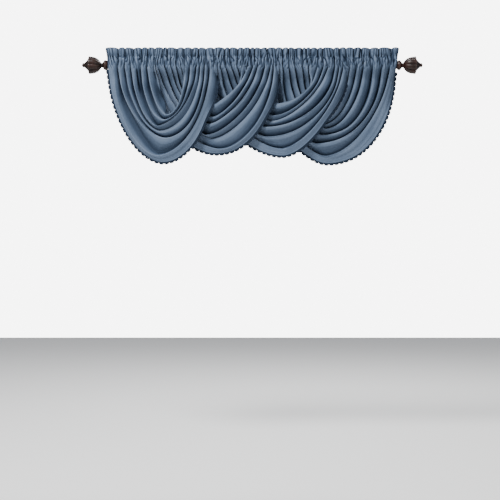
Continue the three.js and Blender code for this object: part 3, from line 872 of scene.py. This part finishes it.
def press_lines(piece, way, out_from, out_to, lines, size, near):
    """Scales towards the axis the points that lie near steps away from evenly spaced lines."""
    bpy.ops.object.mode_set(mode="EDIT")
    bpy.ops.mesh.select_mode(type="VERT")
    bpy.ops.mesh.select_all(action="DESELECT")
    bpy.ops.object.mode_set(mode="OBJECT")
    for vertex in piece.data.vertices:
        out = way * vertex.co.x - FINIAL_FROM
        if not out_from <= out <= out_to or math.hypot(vertex.co.y, vertex.co.z) < TIP_RADIUS:
            continue
        turn = math.atan2(vertex.co.z, vertex.co.y) / (2 * math.pi) * lines
        off = abs((turn + 0.5) % 1 - 0.5) * FINIAL_SIDES / lines
        if abs(off - near) < 0.3:
            vertex.select = True
    bpy.ops.object.mode_set(mode="EDIT")
    bpy.ops.transform.resize(value=(1, size, size), center_override=(0, 0, 0))
    bpy.ops.object.mode_set(mode="OBJECT")


def close_mesh(piece):
    """Merges doubles, turns all faces outwards and keeps the carved edges sharp."""
    pick(piece)
    bpy.ops.object.mode_set(mode="EDIT")
    bpy.ops.mesh.select_all(action="SELECT")
    bpy.ops.mesh.remove_doubles(threshold=0.00002)
    bpy.ops.mesh.normals_make_consistent(inside=False)
    bpy.ops.object.mode_set(mode="OBJECT")
    bpy.ops.object.shade_smooth_by_angle(angle=SHARP_ANGLE)


print("edges sharper than", round(math.degrees(SHARP_ANGLE)), "degrees stay sharp")

# %% Carve both finials
PETALS = 8
# Bands along the finial where petal lines are pressed in: from, to and how deeply.
PETAL_BANDS = [(0.0385, 0.0495, 0.5), (0.0535, 0.0965, 1.0), (0.1005, 0.1045, 0.75)]
PETAL_PRESS = [0.885, 0.935, 0.965, 0.985]
RIB_BAND = (0.1050, 0.1260)
RIB_PRESS = [0.90, 0.95]
finials = []
for side, way in (("left", -1), ("right", 1)):
    finial = turned_finial("carved_finial_" + side, way)
    for out_from, out_to, depth in PETAL_BANDS:
        for near, size in enumerate(PETAL_PRESS):
            press_lines(finial, way, out_from, out_to, PETALS, 1 - (1 - size) * depth, near)
    for near, size in enumerate(RIB_PRESS):
        press_lines(finial, way, *RIB_BAND, 2 * PETALS, size, near)
    close_mesh(finial)
    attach(finial, "root")
    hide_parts("finial_" + side)
    finials.append(finial)
    print(finial.name, len(finial.data.polygons), "faces")

# %% [markdown]
# ## The cloth itself
# The real cloth is a matt woven polyester in a dusty steel blue, with a faint sheen and a fine twill
# rib. The pattern follows the threads on the sheets' UV maps. Two crossed wave textures make warp and
# weft, a slanted one the rib, soft noise the slubs, the uneven dye and the crumples, and dashes along
# pocket and hem the stitches. Deep in the folds the colour is painted darker as painted shade, and sheen
# and specular fall there.

# %% A small helper for node trees
class Nodes:
    """Adds nodes to a material by name and links them in one call."""

    def __init__(self, material):
        material.use_nodes = True
        self.tree = material.node_tree
        self.shader = self.tree.nodes["Principled BSDF"]

    def add(self, kind, links=None, **settings):
        """A new node: settings go on its properties or sockets, and outputs are linked to it."""
        node = self.tree.nodes.new("ShaderNode" + kind)
        for key, value in settings.items():
            if hasattr(node, key):
                setattr(node, key, value)
            else:
                node.inputs[key.replace("_", " ")].default_value = value
        for key, source in (links or {}).items():
            self.tree.links.new(source, node.inputs[key])
        return node

    def math(self, operation, *values):
        """A Math node: numbers are set on its sockets, and outputs of other nodes are linked."""
        node = self.add("Math", operation=operation)
        for socket, value in zip(node.inputs, values):
            if isinstance(value, float):
                socket.default_value = value
            else:
                self.tree.links.new(value, socket)
        return node.outputs[0]

    def tint(self, blend_type, share, colour, towards):
        """Blends the colour of an output towards one fixed colour."""
        node = self.add("Mix", {"Factor": share}, data_type="RGBA", blend_type=blend_type)
        first, second = [socket for socket in node.inputs if socket.type == "RGBA"]
        self.tree.links.new(colour, first)
        second.default_value = (*towards, 1)
        return [socket for socket in node.outputs if socket.type == "RGBA"][0]

    def value(self, kind, links=None, **settings):
        """The Fac output of a new node."""
        return self.add(kind, links, **settings).outputs["Fac"]

    def ramp(self, fac, *stops):
        """Colours, or plain numbers, along a value."""
        node = self.add("ValToRGB", {"Fac": fac})
        for element, (at, colour) in zip(node.color_ramp.elements, stops):
            element.position = at
            element.color = (*(colour if isinstance(colour, tuple) else [colour] * 3), 1)
        return node.outputs["Color"]

    def shade(self, **sources):
        for key, source in sources.items():
            self.tree.links.new(source, self.shader.inputs[key.replace("_", " ")])

    def set(self, **values):
        for key, value in values.items():
            self.shader.inputs[key.replace("_", " ")].default_value = value


def finish_with(material, pieces):
    """Gives pieces this one material."""
    for piece in pieces:
        piece.data.materials.clear()
        piece.data.materials.append(material)
    print(material.name, "on", len(pieces), "pieces")


print("node helper ready")

# %% The steel-blue cloth: its colour
# The colour that painted shade darkens the cloth towards, deep in its folds.
CLOTH_PAINTED_SHADE = (0.006, 0.011, 0.022)
CLOTH_MID = (0.060, 0.092, 0.147)
CLOTH_LIGHT = (0.092, 0.128, 0.190)
STITCH_TINT = (0.45, 0.48, 0.55)
STITCH_HALF = 0.0009
STITCH_LONG = 0.0042
THREADS_PER_METRE = 700
RIBS_PER_METRE = 330

cloth = bpy.data.materials.new("steel_blue_cloth")
n = Nodes(cloth)
uv = n.add("UVMap", uv_map="cloth").outputs["UV"]
# depth: the painted shade of the folds, read from the mesh.
depth = n.value("Attribute", attribute_name="painted_valley_shade")
dye = n.value("TexNoise", {"Vector": uv}, Scale=9.0, Detail=4.0)
slub_space = n.add("Mapping", {"Vector": uv}, Scale=(60, 900, 1)).outputs["Vector"]
slub = n.value("TexNoise", {"Vector": slub_space}, Scale=1.0, Detail=2.0)
mottle = n.math("MULTIPLY", n.math("ADD", dye, slub), 0.5)
dyed = n.ramp(mottle, (0.35, CLOTH_MID), (0.62, CLOTH_LIGHT))
stitches = []
for key, run in (("row_off", "X"), ("hem_off", "Y")):
    off = n.value("Attribute", attribute_name=key)
    dash = n.value("TexWave", {"Vector": uv}, bands_direction=run, Scale=2 * math.pi / STITCH_LONG / 20)
    dashed = n.math("GREATER_THAN", dash, 0.3)
    stitches.append(n.math("MULTIPLY", n.math("COMPARE", off, 0.0, STITCH_HALF), dashed))
stitch = n.math("MAXIMUM", *stitches)
# The dyed colour is darkened towards the painted-shade colour by the painted shade.
shaded = n.tint("MIX", depth, dyed, CLOTH_PAINTED_SHADE)
n.shade(Base_Color=n.tint("MULTIPLY", stitch, shaded, STITCH_TINT))
print("colour of the cloth, with stitches of", STITCH_LONG * 1000, "mm")

# %% The steel-blue cloth: its weave and sheen
weave_look = {"Scale": THREADS_PER_METRE / 6.28, "Distortion": 1.2, "Detail_Scale": 2.0}
warp = n.value("TexWave", {"Vector": uv}, bands_direction="X", **weave_look)
weft = n.value("TexWave", {"Vector": uv}, bands_direction="Y", **weave_look)
rib = n.value("TexWave", {"Vector": uv}, bands_direction="DIAGONAL", Scale=RIBS_PER_METRE / 6.28,
            Distortion=0.8)
relief = n.math("ADD", n.math("ADD", n.math("MAXIMUM", warp, weft), rib), slub)
relief = n.math("SUBTRACT", relief, stitch)
crumple_space = n.add("Mapping", {"Vector": uv}, Scale=(105, 10, 1)).outputs["Vector"]
crumple = n.value("TexNoise", {"Vector": crumple_space}, Scale=1.0, Detail=3.0, Roughness=0.55)
bump = n.add("Bump", {"Height": crumple}, Strength=0.55, Distance=0.0045).outputs["Normal"]
bump = n.add("Bump", {"Height": relief, "Normal": bump}, Strength=0.25, Distance=0.0006).outputs["Normal"]
# Sheen and specular level fall with the painted shade, so the painted valleys stay dark.
n.shade(Normal=bump,
        Sheen_Weight=n.ramp(depth, (0.0, 0.30), (0.55, 0.0)),
        Specular_IOR_Level=n.ramp(depth, (0.0, 0.32), (0.6, 0.04)))
# An exported model has no such ramps, so the sockets below them hold what suits the cloth all over.
n.set(Roughness=0.62, Sheen_Roughness=0.45, Sheen_Tint=(0.75, 0.85, 1.0, 1))
n.set(Sheen_Weight=0.15, Specular_IOR_Level=0.20)
finish_with(cloth, panels)

# %% [markdown]
# ## The braid's yarn and the bronze
# The braid is twisted from dark navy yarn, so slanted stripes of light and shade run along it. Here they
# are painted into its colour along the twist as painted light and shade, with a bump as well. The
# finials and the rod are metal with an oil-rubbed finish: nearly black brown, redder where hands and
# cloth have rubbed it, satin rather than shiny, and never quite even. Wear could be painted on, but
# nodes that read the object's own coordinates need no unwrapping.

# %% Twisted navy yarn
YARN_PAINTED_SHADE = (0.004, 0.007, 0.014)
YARN_PAINTED_LIGHT = (0.016, 0.028, 0.052)
yarn = bpy.data.materials.new("navy_braid")
n = Nodes(yarn)
uv = n.add("UVMap", uv_map="cloth").outputs["UV"]
twist = n.value("TexWave", {"Vector": uv}, bands_direction="DIAGONAL", Scale=85, Distortion=1.0)
fuzz = n.value("TexNoise", {"Vector": uv}, Scale=420, Detail=3.0)
both = n.math("MULTIPLY", twist, fuzz)
# The ramp paints the twist's stripes of light and shade, together with the fuzz's random tone.
n.shade(Base_Color=n.ramp(both, (0.08, YARN_PAINTED_SHADE), (0.60, YARN_PAINTED_LIGHT)),
        Normal=n.add("Bump", {"Height": both}, Strength=0.6, Distance=0.0012).outputs["Normal"])
n.set(Roughness=0.9, Specular_IOR_Level=0.15)
finish_with(yarn, braids)

# %% Oil-rubbed bronze
BRONZE_DEEP = (0.0025, 0.0013, 0.0010)
BRONZE_WARM = (0.020, 0.0052, 0.0034)
BRONZE_WORN = (0.042, 0.027, 0.021)
bronze = bpy.data.materials.new("oil_rubbed_bronze")
n = Nodes(bronze)
place = n.add("TexCoord").outputs["Object"]
rubbed = n.value("TexNoise", {"Vector": place}, Scale=26.0, Detail=5.0, Roughness=0.6)
speck = n.value("TexNoise", {"Vector": place}, Scale=190.0, Detail=2.0)
edge = n.ramp(n.add("NewGeometry").outputs["Pointiness"], (0.50, 0.0), (0.58, 1.0))
base = n.ramp(rubbed, (0.40, BRONZE_DEEP), (0.68, BRONZE_WARM))
n.shade(Base_Color=n.tint("MIX", edge, base, BRONZE_WORN),
        Roughness=n.ramp(speck, (0.3, 0.30), (0.7, 0.50)),
        Normal=n.add("Bump", {"Height": speck}, Strength=0.12, Distance=0.0008).outputs["Normal"])
n.set(Metallic=0.0, Specular_IOR_Level=0.20)
finish_with(bronze, finials + [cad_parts["rod"]])

# %% [markdown]
# ## The camera, the light and the floor
# The valances are seen straight from the front and from below, as by somebody in the room. A large
# soft light from the upper left keeps the folds readable, a weak one from the right fills their
# shadows, and one from behind lights the ruffle's top and the back.

# %% Camera
FRAME_WIDTH = 2.70
SENSOR = 36
CAMERA_AWAY = 6.0
CAMERA_X = -0.0124
CAMERA_Z = -0.998
camera_data = bpy.data.cameras.new("camera")
camera_data.sensor_width = SENSOR
camera_data.lens = SENSOR * CAMERA_AWAY / FRAME_WIDTH
camera = put_in_scene("camera", camera_data)
camera.location = (CAMERA_X, -CAMERA_AWAY, CAMERA_Z)
camera.rotation_euler = (math.radians(90), 0, 0)
bpy.context.scene.camera = camera
print("lens", round(camera_data.lens, 1), "mm")

# %% Floor
FLOOR_Z = -2.1
bpy.ops.object.select_all(action="DESELECT")
bpy.ops.mesh.primitive_plane_add(size=16, location=(0, 0, FLOOR_Z))
floor = bpy.context.object
floor.name = "floor"
floor_paint = bpy.data.materials.new("floor_paint")
Nodes(floor_paint).set(Base_Color=(0.8, 0.8, 0.79, 1), Roughness=0.9)
finish_with(floor_paint, [floor])

# %% Light
STUDIO_GLOW = 0.55
BACKDROP_WHITE = 7.0


def soft_light(name, place, aim, size, power):
    """A round soft light at a place, turned towards what it lights."""
    data = bpy.data.lights.new(name, "AREA")
    data.shape = "DISK"
    data.size = size
    data.energy = power
    light = put_in_scene(name, data)
    light.location = place
    direction = np.array(aim, float) - np.array(place, float)
    pitch = math.atan2(math.hypot(direction[0], direction[1]), -direction[2])
    light.rotation_euler = (pitch, 0, math.atan2(-direction[0], direction[1]))


soft_light("key_light", (-1.6, -2.4, 2.6), (0, 0, -0.25), 1.3, 340)
soft_light("fill_light", (2.6, -3.4, 0.6), (0, 0, -0.2), 2.5, 55)
soft_light("back_light", (0.8, 3.0, 2.8), (0, 0, -0.2), 2.0, 260)
world = bpy.data.worlds.new("studio")
bpy.context.scene.world = world
world.use_nodes = True
sky = world.node_tree
glow = sky.nodes["Background"]
backdrop = sky.nodes.new("ShaderNodeBackground")
for node, colour, strength in ((glow, (0.93, 0.95, 1, 1), STUDIO_GLOW),
                               (backdrop, (1, 1, 1, 1), BACKDROP_WHITE)):
    node.inputs["Color"].default_value = colour
    node.inputs["Strength"].default_value = strength
blend = sky.nodes.new("ShaderNodeMixShader")
rays = sky.nodes.new("ShaderNodeLightPath")
sky.links.new(rays.outputs["Is Camera Ray"], blend.inputs[0])
sky.links.new(glow.outputs[0], blend.inputs[1])
sky.links.new(backdrop.outputs[0], blend.inputs[2])
sky.links.new(blend.outputs[0], sky.nodes["World Output"].inputs["Surface"])
print("lights on")
